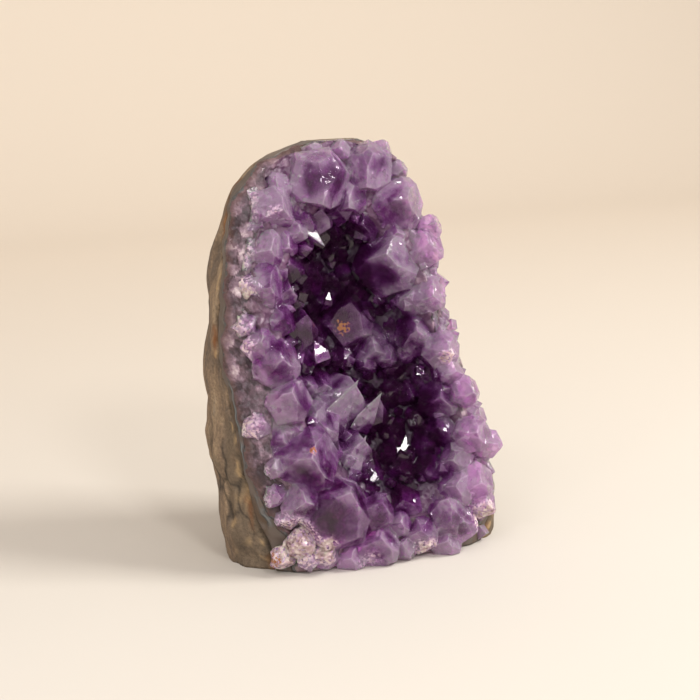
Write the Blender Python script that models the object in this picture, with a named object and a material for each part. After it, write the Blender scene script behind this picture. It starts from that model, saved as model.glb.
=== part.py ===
"""Amethyst cluster: a sawn piece of a geode that stands on its cut base.

Three layers grew on each other and each is one solid: the basalt rind behind, the thin agate band
on it, and the quartz crust in front, with all its amethyst crystals grown together. The crystals
face -Y, +Z is up, and the origin is on the cut base. The tables are in millimetres.
"""
from math import cos, hypot, pi, radians, sin, sqrt, tan
import random

import bmesh
import bpy
import numpy as np
from mathutils import Matrix, Vector

MM = 0.001

# ---- driving dimensions -------------------------------------------------------------------------
TOP = 116.5                # height of the loft's last section; the crystals reach a little higher
CUT_BELOW = -10.0          # the loft starts here and is sawn flat at height 0
GAP = 0.3                  # clearance between neighbouring layers, and under the crust
AGATE_THICKNESS = 1.8
RING_POINTS = 36           # points round the rind
RING_STEP = 6.5            # height between the rind's rings
SHEET_STEP = 8.0           # mesh size of the surfaces between the layers
CRUST_STEP = 5.6           # mesh size of the growth face
ROCK_LUMP = 1.5            # how far the rock's lumps stand out
INNER_WAVE = 1.0           # how far the rock's inner face rises and falls
CRUST_LUMP = 0.9           # how far the floor between the crystals rises and falls
FACE_TILT = 38.2           # angle in degrees between a pyramid face of quartz and its long axis
ROOT = 4.0                 # depth to which a crystal is sunk in the crust
SHOW_TURN = -25.0          # degrees from -Y of the side on which the crystals show best
SHOW_RISE = 13.0
FILL_STEP = 6.6            # spacing of the small crystals between the large ones
FILL_EDGE = 6.5            # width without crystals along the left edge
# The same along the right edge, by height.
FILL_MARGIN = ((0, 18), (12, 17), (22, 9), (50, 9), (80, 10), (118, 9))
FILL_SEED = 11

# Outline of the whole piece at each height: left, right, front and back, then the squareness.
SECTIONS = (
    (-10.0, -40.5, 43.0, -15.0, 25.0, 3.2),
    (0.0, -41.2, 43.0, -15.0, 25.0, 3.2),
    (20.0, -43.0, 41.0, -15.5, 26.5, 3.0),
    (40.0, -43.8, 36.2, -14.0, 28.0, 2.8),
    (60.0, -44.0, 30.6, -11.0, 29.0, 2.6),
    (80.0, -42.3, 25.5, -7.0, 29.0, 2.5),
    (95.0, -38.6, 21.5, -2.0, 27.5, 2.4),
    (106.0, -33.0, 17.0, 3.0, 25.0, 2.3),
    (113.0, -24.5, 12.0, 8.0, 22.0, 2.2),
    (116.5, -14.0, 4.0, 13.0, 18.0, 2.0),
)
# Y of the rock's inner face: on the left side, on the right side, and how far it bows back between.
LEFT_EDGE = ((-10, -12.5), (10, -12.5), (20, -10.5), (40, -4.5), (60, 1.5), (80, 6), (100, 11), (118, 16))
RIGHT_EDGE = ((-10, -17), (0, -16), (8, -14), (14, -7), (25, 3), (40, 9), (60, 12), (80, 14), (100, 15), (118, 15))
INNER_BOW = ((-10, 7), (0, 8), (20, 13), (40, 16), (60, 15), (80, 13), (100, 7), (118, 0))
# Y of the plane from which the crystals grow, and the hollow that runs up the middle of it.
GROWTH_PLANE = ((-10, -17), (0, -16), (10, -15.5), (30, -13), (60, -7), (80, -2), (100, 5), (118, 13))
HOLLOW_MIDDLE = ((0, 8), (20, 7), (60, -4), (100, -6), (118, -6))
HOLLOW_WIDTH = ((0, 27), (20, 27), (60, 25), (100, 19), (118, 14))
HOLLOW_DEPTH = 17.0
HOLLOW_CENTRE_Z = 56.0
HOLLOW_HALF_HEIGHT = 46.0

# The large crystals: where the long axis leaves the growth face across and up, girth from face to
# face, height of the point's middle along the axis, lean to the right and upwards in degrees from
# the show side, and turn about the axis.
CRYSTALS = (
    # crown
    (-11.5, 105.5, 17.0, 7.0, 12, -38, 10),
    (4.5, 108.0, 13.5, 6.0, 0, -32, 28),
    (-11.5, 113.0, 7.0, 2.5, -5, 30, 0),
    (-3.0, 113.5, 6.0, 3.0, 0, 15, 20),
    (9.5, 112.5, 7.0, 3.0, 25, 10, 5),
    (13.5, 107.5, 6.0, 3.0, 30, 0, 40),
    (12.0, 98.5, 15.0, 6.0, 18, 5, 0),
    (-2.5, 100.0, 10.0, 3.0, 0, -25, 30),
    (3.0, 92.0, 9.0, 3.5, -5, 0, 12),
    # upper left flank
    (-26.0, 99.0, 13.0, 4.0, 25, -5, 18),
    (-24.0, 105.0, 8.0, 2.5, 10, -10, 45),
    (-30.0, 89.0, 10.5, 3.5, 15, 0, 5),
    (-20.0, 93.0, 6.0, 2.5, 15, 0, 30),
    (-13.5, 78.0, 15.0, 4.0, 35, 10, 20),
    (-32.0, 79.5, 13.0, 4.0, 20, 0, 8),
    (-13.5, 75.5, 7.0, 2.5, 20, -10, 50),
    # upper right
    (9.5, 82.0, 18.5, 7.0, -6, 6, 14),
    (18.5, 86.0, 10.5, 4.0, 10, 8, 32),
    (21.0, 91.5, 7.0, 3.0, 20, 15, 10),
    (18.0, 73.0, 9.5, 4.0, 10, 0, 22),
    (14.5, 71.5, 9.0, 3.0, -10, 5, 6),
    (16.0, 61.5, 12.0, 4.5, 0, 5, 28),
    (20.5, 57.5, 10.5, 4.5, 15, 0, 12),
    (22.5, 51.5, 7.5, 3.5, 25, 0, 38),
    # middle
    (-0.5, 64.5, 15.0, 7.0, 8, 28, 16),
    (6.5, 56.5, 14.0, 5.0, 5, -5, 40),
    (9.0, 54.5, 6.5, 6.0, 15, -10, 12),
    (4.5, 52.5, 6.5, 5.0, -10, -14, 24),
    (4.0, 65.5, 7.0, 5.0, 12, 14, 4),
    (-20.0, 64.5, 13.5, 6.0, 30, 30, 20),
    (-7.0, 72.0, 6.5, 2.5, 10, 0, 34),
    (-11.5, 56.5, 9.0, 3.0, 15, 15, 8),
    (-4.0, 54.0, 8.0, 3.0, 5, -25, 0),
    # left flank
    (-30.5, 59.0, 13.5, 4.0, 20, 5, 30),
    (-35.0, 64.5, 9.0, 3.0, 5, 10, 12),
    (-28.0, 48.5, 12.5, 4.5, 10, 20, 2),
    (-12.5, 47.5, 9.5, 4.0, 20, 5, 36),
    (-7.0, 42.5, 15.0, 8.0, 35, 32, 12),
    (-17.5, 39.0, 13.5, 5.0, 5, 15, 22),
    (-24.0, 32.0, 18.0, 6.0, 12, 5, 6),
    (-33.5, 31.0, 6.0, 2.0, -6, 8, 18),
    (-4.5, 28.5, 11.0, 6.0, 30, 32, 20),
    (4.0, 37.5, 10.0, 6.0, 20, 34, 0),
    # right flank
    (21.5, 42.5, 12.0, 5.0, 0, 5, 24),
    (17.0, 35.5, 6.5, 4.0, -5, 30, 0),
    (26.5, 45.5, 8.5, 4.0, 25, 0, 30),
    (28.0, 33.0, 10.5, 5.0, 10, 5, 4),
    (22.5, 33.5, 9.5, 4.0, -15, 5, 36),
    (24.5, 25.5, 9.0, 4.0, -12, 0, 12),
    (18.5, 29.0, 8.5, 3.5, -8, 8, 50),
    (28.0, 19.5, 10.5, 4.5, 15, 0, 26),
    (23.0, 18.0, 10.5, 4.0, -12, 10, 6),
    (30.0, 13.0, 8.5, 3.0, 15, 5, 18),
    # foot of the hollow
    (9.5, 31.5, 8.5, 3.0, -5, 20, 10),
    (7.0, 26.0, 6.5, 3.5, -6, 12, 30),
    (10.0, 21.5, 8.5, 3.5, -8, 12, 20),
    (17.5, 22.0, 9.0, 3.5, -10, 0, 8),
    (7.0, 14.5, 10.0, 4.0, -5, 15, 42),
    (-4.0, 14.0, 9.5, 6.0, 15, 30, 8),
    (18.5, 10.0, 10.0, 6.5, 0, 40, 0),
    (22.5, 8.0, 10.5, 4.0, 5, 10, 34),
    (18.0, 3.0, 9.5, 4.0, 5, 10, 14),
    (10.0, 6.5, 10.0, 4.5, 0, 10, 24),
    (5.0, 2.5, 6.0, 4.5, -5, 25, 2),
    (-4.5, 5.5, 13.5, 5.0, 10, 15, 18),
    (-16.5, 16.5, 19.0, 8.0, 22, 28, 4),
    (-26.5, 21.0, 12.0, 4.0, 10, 5, 38),
    (-12.0, 2.5, 9.0, 3.0, 5, 8, 10),
    (-27.5, 9.5, 9.0, 2.5, 0, 10, 28),
)

# Colours are linear, then roughness.
BASALT_LOOK = ((0.16, 0.13, 0.10), 0.85)
AGATE_LOOK = ((0.22, 0.22, 0.23), 0.35)
AMETHYST_LOOK = ((0.24, 0.10, 0.30), 0.12)


# ---- curves and surfaces ------------------------------------------------------------------------
def smooth(knots, at):
    """Value at a height on the smooth curve through (height, value) knots."""
    height, value = np.array(knots, float).T
    at = np.clip(np.asarray(at, float), height[0], height[-1])
    slope = np.gradient(value, height)
    i = np.clip(np.searchsorted(height, at, side='right') - 1, 0, len(height) - 2)
    span = height[i + 1] - height[i]
    t = (at - height[i]) / span
    return ((2 * t**3 - 3 * t**2 + 1) * value[i] + (t**3 - 2 * t**2 + t) * span * slope[i]
            + (3 * t**2 - 2 * t**3) * value[i + 1] + (t**3 - t**2) * span * slope[i + 1])


def outline(z):
    """Left, right, front, back and squareness of the piece at a height."""
    return [smooth([(row[0], row[column]) for row in SECTIONS], z) for column in range(1, 6)]


def inner_face(x, z):
    """Y of the rock's inner face, on which the agate lies."""
    left, right = outline(z)[:2]
    across = min(max((2 * x - left - right) / max(right - left, 1.0), -1.0), 1.0)
    share = (across + 1) / 2
    edges = smooth(LEFT_EDGE, z) * (1 - share) + smooth(RIGHT_EDGE, z) * share
    return edges + smooth(INNER_BOW, z) * (1 - across**2) + INNER_WAVE * bumps(x, 0.0, z, 15.0)


def growth_face(x, z):
    """Y of the smooth surface from which the crystals grow, with the hollow up its middle."""
    off_middle = (x - smooth(HOLLOW_MIDDLE, z)) / smooth(HOLLOW_WIDTH, z)
    off_centre = np.abs((z - HOLLOW_CENTRE_Z) / HOLLOW_HALF_HEIGHT)
    dip = np.clip(1 - off_middle**2 - off_centre**3, 0, 1)
    dip = dip * dip * (3 - 2 * dip)
    return smooth(GROWTH_PLANE, z) + HOLLOW_DEPTH * dip**0.8


def bumps(x, y, z, size):
    """Smooth lumps between about -1 and 1, each about `size` wide: crossing waves that bend
    each other, sin(u + 1.3 sin w) cos(w + 1.1 sin v) + sin(v + 1.7 cos u), halved."""
    u, v, w = x * 3.1 / size, y * 3.1 / size, z * 3.1 / size
    return 0.5 * (np.sin(u + 1.3 * np.sin(0.9 * w + 2.1)) * np.cos(0.8 * w + 1.1 * np.sin(v + 0.7 * u))
                  + np.sin(1.1 * v + 1.7 * np.cos(0.7 * u + 0.5 * w)))


# ---- meshes -------------------------------------------------------------------------------------
def new_object(name, bm, collection):
    """Object made of a bmesh in millimetres."""
    bmesh.ops.recalc_face_normals(bm, faces=bm.faces)
    bmesh.ops.scale(bm, vec=(MM, MM, MM), verts=bm.verts)
    mesh = bpy.data.meshes.new(name)
    bm.to_mesh(mesh)
    bm.free()
    obj = bpy.data.objects.new(name, mesh)
    collection.objects.link(obj)
    return obj


def rock_ring(z):
    """Points round the piece at one height, pushed in and out by the rock's lumps."""
    left, right, front, back, squareness = [float(value) for value in outline(z)]
    points = []
    for i in range(RING_POINTS):
        turn = 2 * pi * i / RING_POINTS
        c, s = cos(turn), sin(turn)
        x = (left + right) / 2 + (right - left) / 2 * np.sign(c) * abs(c)**(2 / squareness)
        y = (front + back) / 2 + (back - front) / 2 * np.sign(s) * abs(s)**(2 / squareness)
        push = ROCK_LUMP * bumps(x, y, z * 0.7, 14.0)
        points.append((x + push * c, y + push * s, z))
    return points


def outline_loft(name, collection):
    """Closed loft through the outlines from below the cut to the top."""
    count = round((TOP - CUT_BELOW) / RING_STEP)
    bm = bmesh.new()
    rings = []
    for step in range(count + 1):
        z = CUT_BELOW + (TOP - CUT_BELOW) * step / count
        rings.append([bm.verts.new(point) for point in rock_ring(z)])
    for low, high in zip(rings, rings[1:]):
        for i in range(RING_POINTS):
            j = (i + 1) % RING_POINTS
            bm.faces.new((low[i], low[j], high[j], high[i]))
    for ring in (rings[0], rings[-1]):
        bmesh.ops.contextual_create(bm, geom=ring)
    bmesh.ops.triangulate(bm, faces=bm.faces)
    return new_object(name, bm, collection)


def sheet_block(name, near, far, collection, step=SHEET_STEP):
    """Closed block between two surfaces Y = near(x, z) and Y = far(x, z), wider than the piece."""
    x_from, x_to, z_from, z_to = -54.0, 54.0, CUT_BELOW / 2, TOP + 12.0
    columns, rows = round((x_to - x_from) / step), round((z_to - z_from) / step)
    bm = bmesh.new()
    for surface in (near, far):
        grid = bmesh.ops.create_grid(bm, x_segments=columns, y_segments=rows, size=0.5)['verts']
        for vert in grid:
            x = x_from + (vert.co.x + 0.5) * (x_to - x_from)
            z = z_from + (vert.co.y + 0.5) * (z_to - z_from)
            vert.co = (x, float(surface(x, z)), z)
    rims = [edge for edge in bm.edges if edge.is_boundary]
    bmesh.ops.bridge_loops(bm, edges=rims)
    bmesh.ops.triangulate(bm, faces=bm.faces, quad_method='FIXED')
    return new_object(name, bm, collection)


def saw_block(name, height, collection):
    """Block whose flat top is the sawn base."""
    width = 200.0
    bm = bmesh.new()
    bmesh.ops.create_cube(bm, size=width, matrix=Matrix.Translation((0, 0, height - width / 2)))
    return new_object(name, bm, collection)


def quartz_crystal(girth, length, unevenness, rng):
    """One crystal with its tip at the origin and its long axis along +Z: a six-sided prism that
    six pyramid faces cut to a point, three of them large and three small."""
    bm = bmesh.new()
    bmesh.ops.create_cone(bm, cap_ends=True, segments=6, radius1=girth / sqrt(3), radius2=girth / sqrt(3),
                          depth=length, matrix=Matrix.Translation((0, 0, -length / 2)))
    tilt = radians(FACE_TILT)
    for side in range(6):
        turn = pi / 6 + side * pi / 3
        outward = Vector((cos(turn) * cos(tilt), sin(turn) * cos(tilt), sin(tilt)))
        setback = (0.09 * girth if side % 2 else 0.0) - rng.uniform(0, unevenness) * girth
        cut = bmesh.ops.bisect_plane(bm, geom=bm.verts[:] + bm.edges[:] + bm.faces[:], clear_outer=True,
                                     plane_co=outward * setback, plane_no=outward)
        rim = [item for item in cut['geom_cut'] if isinstance(item, bmesh.types.BMEdge)]
        if rim:
            bmesh.ops.edgeloop_fill(bm, edges=rim)
    return bm


def growth_direction(x, z):
    """Outward direction, towards -Y, of the growth face."""
    step = 2.0
    slope_x = (growth_face(x + step, z) - growth_face(x - step, z)) / (2 * step)
    slope_z = (growth_face(x, z + step) - growth_face(x, z - step)) / (2 * step)
    return Vector((float(slope_x), -1.0, float(slope_z))).normalized()


def show_axes():
    """Towards, right and up directions as seen from the show side."""
    turn, rise = radians(SHOW_TURN), radians(SHOW_RISE)
    towards = Vector((sin(turn) * cos(rise), -cos(turn) * cos(rise), sin(rise)))
    right = Vector((cos(turn), sin(turn), 0.0))
    return towards, right, towards.cross(right)


def place_crystal(name, row, rng, collection):
    """Crystal of one row of the table, rooted in the crust."""
    x, z, girth, out, lean_right, lean_up, turn = row
    towards, right, up = show_axes()
    axis = (towards + right * tan(radians(lean_right)) + up * tan(radians(lean_up))).normalized()
    half_point = girth / 4 / tan(radians(FACE_TILT))
    foot = Vector((x, float(growth_face(x, z)), z))
    tip = foot + axis * (out + half_point)
    length = out + half_point + ROOT
    bm = quartz_crystal(girth, length, 0.07, rng)
    stand = axis.to_track_quat('Z', 'X').to_matrix().to_4x4()
    bmesh.ops.transform(bm, matrix=Matrix.Translation(tip) @ stand @ Matrix.Rotation(radians(turn), 4, 'Z'),
                        verts=bm.verts)
    return new_object(name, bm, collection)


def small_crystals(rng):
    """Rows for the small crystals that fill the crust between the large ones, lowest at its edges."""
    rows = []
    z = 4.0
    while z < TOP - 6:
        left, right = [float(value) for value in outline(z)[:2]]
        x = left + FILL_EDGE + rng.uniform(0, FILL_STEP)
        while x < right - float(smooth(FILL_MARGIN, z)):
            at_x, at_z = x + rng.uniform(-1.5, 1.5), z + rng.uniform(-1.5, 1.5)
            girth, height = rng.uniform(6.5, 9.5), rng.uniform(0.2, 0.4)
            if at_x < left + 2 * FILL_EDGE:
                girth, height = 0.8 * girth, 0.1
            apart = [hypot(at_x - row[0], at_z - row[1]) / (row[2] + girth) for row in CRYSTALS]
            if min(apart) > 0.3:
                rows.append((at_x, at_z, girth, height * girth, rng.uniform(0, 35),
                             rng.uniform(-15, 25), rng.uniform(0, 60)))
            x += FILL_STEP
        z += FILL_STEP
    return rows


def boolean(target, operation, other):
    """Add an exact Boolean with an object, or with all the objects of a collection."""
    modifier = target.modifiers.new(operation.lower(), 'BOOLEAN')
    modifier.operation = operation
    modifier.solver = 'EXACT'
    if isinstance(other, bpy.types.Collection):
        modifier.operand_type = 'COLLECTION'
        modifier.collection = other
    else:
        modifier.object = other


def settle(obj):
    """Apply the modifiers, weld the hair-thin edges that Booleans leave, and keep the largest body."""
    graph = bpy.context.evaluated_depsgraph_get()
    mesh = bpy.data.meshes.new_from_object(obj.evaluated_get(graph))
    bm = bmesh.new()
    bm.from_mesh(mesh)
    bmesh.ops.dissolve_degenerate(bm, edges=bm.edges, dist=0.002 * MM)
    waiting = set(bm.verts)
    bodies = []
    while waiting:
        body, edge = set(), [waiting.pop()]
        while edge:
            vert = edge.pop()
            body.add(vert)
            linked = [e.other_vert(vert) for e in vert.link_edges]
            edge += [other for other in linked if other in waiting]
            waiting.difference_update(linked)
        bodies.append(body)
    bodies.sort(key=len)
    for body in bodies[:-1]:
        bmesh.ops.delete(bm, geom=list(body), context='VERTS')
    bm.to_mesh(mesh)
    bm.free()
    obj.modifiers.clear()
    obj.data = mesh


def material(name, look):
    """Plain material with a colour and a roughness."""
    colour, roughness = look
    mat = bpy.data.materials.new(name)
    mat.use_nodes = True
    shader = mat.node_tree.nodes['Principled BSDF']
    shader.inputs['Base Color'].default_value = (*colour, 1.0)
    shader.inputs['Roughness'].default_value = roughness
    shader.inputs['Metallic'].default_value = 0.0
    mat.diffuse_color = (*colour, 1.0)
    return mat


# ---- the pieces ---------------------------------------------------------------------------------
def constant(y):
    """Flat surface at one Y."""
    return lambda x, z: y


def shifted(surface, by):
    """Surface moved along Y."""
    return lambda x, z: float(surface(x, z)) + by


def rough_growth_face(x, z):
    """Growth face with the lumps, ledges and pits of the quartz between the crystals."""
    y = float(growth_face(x, z))
    return y + CRUST_LUMP * bumps(x, 40.0, z, 7.0)


def make_rind(parts, cutters):
    """Basalt behind the inner face, sawn flat at height 0."""
    rind = outline_loft('basalt_rind', parts)
    boolean(rind, 'INTERSECT', sheet_block('behind_inner_face', inner_face, constant(70.0), cutters))
    boolean(rind, 'DIFFERENCE', saw_block('saw', 0.0, cutters))
    settle(rind)
    rind.data.materials.append(material('basalt', BASALT_LOOK))


def make_agate(parts, loft, saw):
    """Thin agate layer on the rock's inner face, seen as a line round the edge."""
    near, far = shifted(inner_face, -GAP - AGATE_THICKNESS), shifted(inner_face, -GAP)
    agate = sheet_block('agate_band', near, far, parts)
    boolean(agate, 'INTERSECT', loft)
    boolean(agate, 'DIFFERENCE', saw)
    settle(agate)
    agate.data.materials.append(material('agate', AGATE_LOOK))


def make_crust(parts, cutters, loft, saw):
    """Quartz on the agate with every crystal joined to it."""
    rng = random.Random(FILL_SEED)
    back = shifted(inner_face, -2 * GAP - AGATE_THICKNESS)
    crust = sheet_block('amethyst_crust', rough_growth_face, shifted(back, 6.0), parts, step=CRUST_STEP)
    boolean(crust, 'INTERSECT', loft)
    points = bpy.data.collections.new('crystals')
    cutters.children.link(points)
    for i, row in enumerate(list(CRYSTALS) + small_crystals(rng)):
        place_crystal(f'crystal_{i:03d}', row, rng, points)
    boolean(crust, 'UNION', points)
    boolean(crust, 'INTERSECT', sheet_block('before_agate', constant(-70.0), back, cutters))
    boolean(crust, 'DIFFERENCE', saw)
    settle(crust)
    crust.data.materials.append(material('amethyst', AMETHYST_LOOK))


def main():
    """Clear the scene and build the three layers."""
    for obj in list(bpy.data.objects):
        bpy.data.objects.remove(obj, do_unlink=True)
    parts = bpy.data.collections.new('amethyst_cluster')
    cutters = bpy.data.collections.new('cutters')
    for collection in (parts, cutters):
        bpy.context.scene.collection.children.link(collection)
    loft = outline_loft('outline', cutters)
    make_rind(parts, cutters)
    raised_saw = saw_block('raised_saw', GAP, cutters)
    make_agate(parts, loft, raised_saw)
    make_crust(parts, cutters, loft, raised_saw)
    for cutter in cutters.all_objects:
        cutter.display_type = 'WIRE'
        cutter.hide_render = True


main()
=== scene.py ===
"""Amethyst cluster: the finish of every surface of a sawn geode piece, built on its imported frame.

The basalt, the agate and the milky quartz are closed layers, lofted with numpy from the piece's
outline. The amethyst is the frame's crust of large crystals with its inside cut away, set with
small crystals and joined to one mesh. Sizes and places are in millimetres until a mesh is made, and
those of the paper, the lights and the camera are in metres. Every pattern has a seed of its own.
"""
import itertools
from functools import partial
from math import cos, pi, radians, sin

import bmesh
import bpy
import numpy as np
from bpy.props import FloatProperty, FloatVectorProperty, IntProperty, PointerProperty
from mathutils import Matrix, Vector


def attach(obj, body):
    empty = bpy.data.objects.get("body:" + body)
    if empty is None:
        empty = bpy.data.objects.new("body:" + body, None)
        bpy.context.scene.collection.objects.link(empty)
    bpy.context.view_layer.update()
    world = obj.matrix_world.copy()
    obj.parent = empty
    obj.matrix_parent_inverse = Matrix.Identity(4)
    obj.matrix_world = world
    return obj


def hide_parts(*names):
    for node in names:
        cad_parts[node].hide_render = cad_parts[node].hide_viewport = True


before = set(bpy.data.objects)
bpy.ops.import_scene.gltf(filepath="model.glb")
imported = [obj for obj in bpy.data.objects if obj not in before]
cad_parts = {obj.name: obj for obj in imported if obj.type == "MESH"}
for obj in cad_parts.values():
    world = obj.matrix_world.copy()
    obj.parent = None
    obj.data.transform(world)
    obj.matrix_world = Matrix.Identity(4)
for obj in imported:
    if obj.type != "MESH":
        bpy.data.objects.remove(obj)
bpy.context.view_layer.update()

bl_info = {
    "name": "Amethyst Cluster",
    "version": (1, 0, 0),
    "blender": (4, 5, 0),
    "location": "3D View > Sidebar > Amethyst",
    "description": "Builds a sawn amethyst geode piece: basalt, agate, milky quartz and crystals",
    "category": "Object",
}

MM = 0.001
TOP = 116.5
# Clearance between two layers, and the thickness of the agate band.
GAP = 0.3
AGATE_THICKNESS = 1.8
# How far the rock's large lumps stand out and how wide they are, and how its inner face swings.
ROCK_LUMP = 1.5
ROCK_LUMP_WIDTH = 14.0
INNER_WAVE = 1.0
INNER_WAVE_WIDTH = 15.0
# Widths of the rock's broken plates, of the flakes and rounded lumps on them, and of the large flat
# facets near the foot of its edge.
PLATE_WIDTH = 9.0
FLAKE_WIDTH = 3.2
LUMP_WIDTH = 5.0
FACET_WIDTH = 10.0
# Widths of the quartz's broken grains, of the finer ones on them, and of the knobs at the rim.
QUARTZ_GRAIN_WIDTH = 2.4
QUARTZ_CRUMB_WIDTH = 1.6
QUARTZ_KNOB_WIDTH = 4.2
# How deep a small crystal is rooted, how deep the corner behind a bright face lies, the longest edge
# of the finished crystals, and how far and how coarsely the worn ones are shaken.
ROOT_DEPTH = 3.0
BRIGHT_ROOT_DEPTH = 5.0
LONGEST_EDGE = 2.2
WORN_SHAKE = 0.8
WORN_SHAKE_WIDTH = 2.6

# Outline of the whole piece at each height: left, right, front and back, then the squareness.
SECTIONS = (
    (-10.0, -40.5, 43.0, -15.0, 25.0, 3.2),
    (0.0, -41.2, 43.0, -15.0, 25.0, 3.2),
    (20.0, -43.0, 41.0, -15.5, 26.5, 3.0),
    (40.0, -43.8, 36.2, -14.0, 28.0, 2.8),
    (60.0, -44.0, 30.6, -11.0, 29.0, 2.6),
    (80.0, -42.3, 25.5, -7.0, 29.0, 2.5),
    (95.0, -38.6, 21.5, -2.0, 27.5, 2.4),
    (106.0, -33.0, 17.0, 3.0, 25.0, 2.3),
    (113.0, -24.5, 12.0, 8.0, 22.0, 2.2),
    (116.5, -14.0, 4.0, 13.0, 18.0, 2.0),
)
# Y of the rock's inner face: on the left side, on the right side, and how far it bows back between.
LEFT_EDGE = ((-10, -12.5), (10, -12.5), (20, -10.5), (40, -4.5), (60, 1.5), (80, 6), (100, 11), (118, 16))
RIGHT_EDGE = ((-10, -17), (0, -16), (8, -14), (14, -7), (25, 3), (40, 9), (60, 12), (80, 14), (100, 15),
              (118, 15))
INNER_BOW = ((-10, 7), (0, 8), (20, 13), (40, 16), (60, 15), (80, 13), (100, 7), (118, 0))
# Y of the plane from which the crystals grow, and the hollow that runs up the middle of it.
GROWTH_PLANE = ((-10, -17), (0, -16), (10, -15.5), (30, -13), (60, -7), (80, -2), (100, 5), (118, 13))
HOLLOW_MIDDLE = ((0, 8), (20, 7), (60, -4), (100, -6), (118, -6))
HOLLOW_WIDTH = ((0, 27), (20, 27), (60, 25), (100, 19), (118, 14))
HOLLOW_DEPTH = 17.0
HOLLOW_CENTRE_Z = 56.0
HOLLOW_HALF_HEIGHT = 46.0
# Small points with one large smooth face: its middle, width, height and turn in its own plane. These
# faces lean up and to the right, FACE_LEAN, so that they catch the light down in the hollow.
BRIGHT_POINTS = (
    ((-15.2, 1.6, 92.3), 5.0, 8.0, 155.0),
    ((-14.5, 0.1, 60.0), 5.2, 4.4, -10.0),
    ((-8.6, 5.9, 73.2), 2.4, 2.8, 20.0),
)
FACE_LEAN = (0.129, -0.789, 0.601)
# Tall three-sided points that stand out of the crust: the tip, then the three corners of its root.
TALL_POINTS = (
    ((-3.5, -3.0, 50.5), (-14.5, -6.0, 44.0), (-7.0, -1.5, 36.0), (-2.5, 8.0, 40.5)),
    ((3.5, -3.5, 46.0), (-4.0, -3.0, 40.0), (2.0, -1.5, 36.5), (5.0, 6.0, 38.0)),
    ((-2.0, -5.0, 34.5), (-9.5, -7.0, 28.5), (-4.5, -6.5, 23.5), (-1.0, 3.0, 25.5)),
    ((-1.0, 1.5, 101.0), (-7.0, 4.5, 98.5), (-3.5, 5.0, 94.5), (-2.5, 10.0, 97.0)),
)


# ---- sizes and colours --------------------------------------------------------------------------
def linear(value):
    """Linear RGBA of an sRGB hex colour such as '#8a8074'. Any other value stays as it is."""
    if not isinstance(value, str):
        return value
    parts = [int(value[i:i + 2], 16) / 255 for i in (1, 3, 5)]
    return (*(p / 12.92 if p <= 0.04045 else ((p + 0.055) / 1.055)**2.4 for p in parts), 1.0)


def colour(name, hex_colour, description):
    """Colour property that starts from a hex value."""
    return FloatVectorProperty(name=name, description=description, subtype='COLOR', size=4,
                               min=0.0, max=1.0, default=linear(hex_colour))


def length(name, millimetres, description):
    """Length property that starts from a size in millimetres."""
    return FloatProperty(name=name, description=description, default=millimetres * MM,
                         subtype='DISTANCE', unit='LENGTH')


class StoneColours(bpy.types.PropertyGroup):
    """Colours of the four minerals."""
    basalt: colour("Basalt", "#806b56", "Weathered rock")
    # Painted shade for the cracks, the seam and the low places between the rock's lumps.
    basalt_crevice_shade: colour("Basalt, dark", "#1d1712", "Cracks in the rock")
    agate: colour("Agate", "#6c6f70", "Blue-grey chalcedony")
    quartz: colour("Milky quartz", "#8c7280", "Broken quartz at the rim")
    quartz_pale: colour("Milky quartz, pale", "#d8c6c8", "Palest grains in the quartz")
    amethyst: colour("Amethyst", "#c27ccb", "Crystal at the rim of the piece")
    # Its deepest stop also stands for painted shade down in the hollow.
    amethyst_deep: colour("Amethyst, deep", "#6b2a66", "Crystal down in the hollow")
    absorption: colour("Absorption", "#e094da", "What is left of white light in thick crystal")


class StoneSizes(bpy.types.PropertyGroup):
    """Sizes of the fine relief."""
    rock_relief: length("Rock relief", 0.7, "Height of the rock's small lumps")
    grain_relief: length("Quartz relief", 0.6, "Height of the grains of the milky quartz")
    edge_wear: length("Edge wear", 0.8, "Radius of the worn edges of the palest crystals")
    satellites: IntProperty(name="Small crystals", description="Small crystals between the large ones",
                            default=420, min=0)


# ---- curves and surfaces, in millimetres --------------------------------------------------------
def smooth(knots, at):
    """Value at a height on the smooth curve through (height, value) knots: a cubic between each
    two knots whose slopes are those of the knots' neighbours."""
    height, value = np.array(knots, float).T
    at = np.clip(np.asarray(at, float), height[0], height[-1])
    slope = np.gradient(value, height)
    i = np.clip(np.searchsorted(height, at, side='right') - 1, 0, len(height) - 2)
    span = height[i + 1] - height[i]
    t = (at - height[i]) / span
    return ((2 * t**3 - 3 * t**2 + 1) * value[i] + (t**3 - 2 * t**2 + t) * span * slope[i]
            + (3 * t**2 - 2 * t**3) * value[i + 1] + (t**3 - t**2) * span * slope[i + 1])


def outline(z):
    """Left, right, front, back and squareness of the piece at a height."""
    return [smooth([(row[0], row[column]) for row in SECTIONS], z) for column in range(1, 6)]


def waves(x, y, z, size):
    """Smooth lumps between about -1 and 1, each about `size` wide: crossing waves that bend each
    other, sin(u + 1.3 sin w) cos(w + 1.1 sin v) + sin(v + 1.7 cos u), halved."""
    u, v, w = x * 3.1 / size, y * 3.1 / size, z * 3.1 / size
    return 0.5 * (np.sin(u + 1.3 * np.sin(0.9 * w + 2.1)) * np.cos(0.8 * w + 1.1 * np.sin(v + 0.7 * u))
                  + np.sin(1.1 * v + 1.7 * np.cos(0.7 * u + 0.5 * w)))


def share_across(x, z):
    """Where a place lies between the left edge (-1) and the right edge (1) of the outline."""
    left, right = outline(z)[:2]
    return np.clip((2 * x - left - right) / np.maximum(right - left, 1.0), -1.0, 1.0)


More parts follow.
